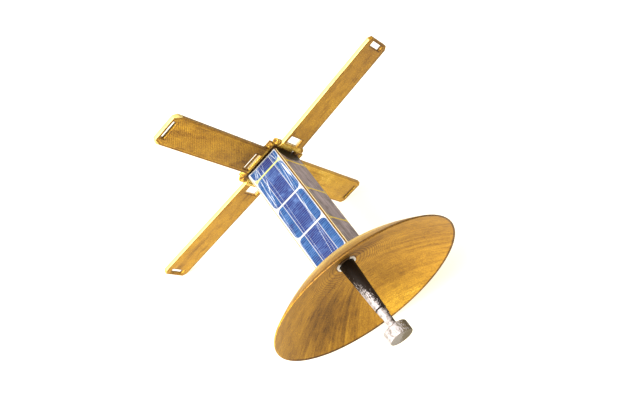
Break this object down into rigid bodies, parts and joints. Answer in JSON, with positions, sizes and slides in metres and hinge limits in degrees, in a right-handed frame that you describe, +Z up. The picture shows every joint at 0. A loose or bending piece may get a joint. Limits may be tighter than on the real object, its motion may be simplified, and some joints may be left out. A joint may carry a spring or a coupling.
{
  "type": "small printed display model of a satellite",
  "caption": "Small printed model satellite: square body with solar-cell cards, a dish with its feed at one end, and slotted paddles hinged round the other.",
  "frame": {"origin": "on the table, under the middle of the resting model's box", "axes": "+Z up; +X horizontal, from the paddles towards the dish, with the body's own axis dipping below it towards the dish; +Y to the left"},
  "size_m": [0.0602, 0.0618, 0.0616],
  "materials": {
    "body_core": "printed plastic with brushed gold paint",
    "hinge_frame": "printed plastic with brushed gold paint",
    "solar_card_upper_left": "printed card with a satin coat",
    "hinge_pin_upper_left": "printed plastic with brushed gold paint",
    "paddle_upper_left": "printed plastic with brushed gold paint over diagonal print lines",
    "solar_card_upper_right": "printed card with a satin coat",
    "hinge_pin_upper_right": "printed plastic with brushed gold paint",
    "paddle_upper_right": "printed plastic with brushed gold paint over diagonal print lines",
    "solar_card_lower_right": "printed card with a satin coat",
    "hinge_pin_lower_right": "printed plastic with brushed gold paint",
    "paddle_lower_right": "printed plastic with brushed gold paint over diagonal print lines",
    "solar_card_lower_left": "printed card with a satin coat",
    "hinge_pin_lower_left": "printed plastic with brushed gold paint",
    "paddle_lower_left": "printed plastic with brushed gold paint over diagonal print lines",
    "dish": "printed plastic with brushed gold paint over visible layer lines",
    "feed_collar": "bare white printed plastic",
    "feed_mast": "dark and silver paint",
    "feed_ferrule": "dark and silver paint",
    "feed_stem": "silver paint",
    "feed_cap": "silver paint"
  },
  "bodies": {
    "spacecraft_body": {"body_core": "body_core", "hinge_frame": "hinge_frame", "solar_card_upper_left": "solar_card_upper_left", "hinge_pin_upper_left": "hinge_pin_upper_left", "solar_card_upper_right": "solar_card_upper_right", "hinge_pin_upper_right": "hinge_pin_upper_right", "solar_card_lower_right": "solar_card_lower_right", "hinge_pin_lower_right": "hinge_pin_lower_right", "solar_card_lower_left": "solar_card_lower_left", "hinge_pin_lower_left": "hinge_pin_lower_left", "dish": "dish", "feed_collar": "feed_collar", "feed_mast": "feed_mast", "feed_ferrule": "feed_ferrule", "feed_stem": "feed_stem", "feed_cap": "feed_cap"},
    "upper_left_paddle": {"paddle_upper_left": "paddle_upper_left"},
    "upper_right_paddle": {"paddle_upper_right": "paddle_upper_right"},
    "lower_right_paddle": {"paddle_lower_right": "paddle_lower_right"},
    "lower_left_paddle": {"paddle_lower_left": "paddle_lower_left"}
  },
  "joints": [
    {"name": "upper_left_hinge", "type": "hinge", "parent": "spacecraft_body", "child": "upper_left_paddle", "pos_m": [-0.02513, 0.0046, 0.03532], "axis": [-0.1016, 0.7071, -0.6998], "range_deg": [0, 85.1]},
    {"name": "upper_right_hinge", "type": "hinge", "parent": "spacecraft_body", "child": "upper_right_paddle", "pos_m": [-0.02513, -0.00459, 0.03532], "axis": [0.1016, 0.7071, 0.6998], "range_deg": [0, 83.5]},
    {"name": "lower_right_hinge", "type": "hinge", "parent": "spacecraft_body", "child": "lower_right_paddle", "pos_m": [-0.02645, -0.00459, 0.02622], "axis": [0.1016, -0.7071, 0.6998], "range_deg": [0, 82]},
    {"name": "lower_left_hinge", "type": "hinge", "parent": "spacecraft_body", "child": "lower_left_paddle", "pos_m": [-0.02645, 0.0046, 0.02622], "axis": [-0.1016, -0.7071, -0.6998], "range_deg": [0, 82]}
  ]
}
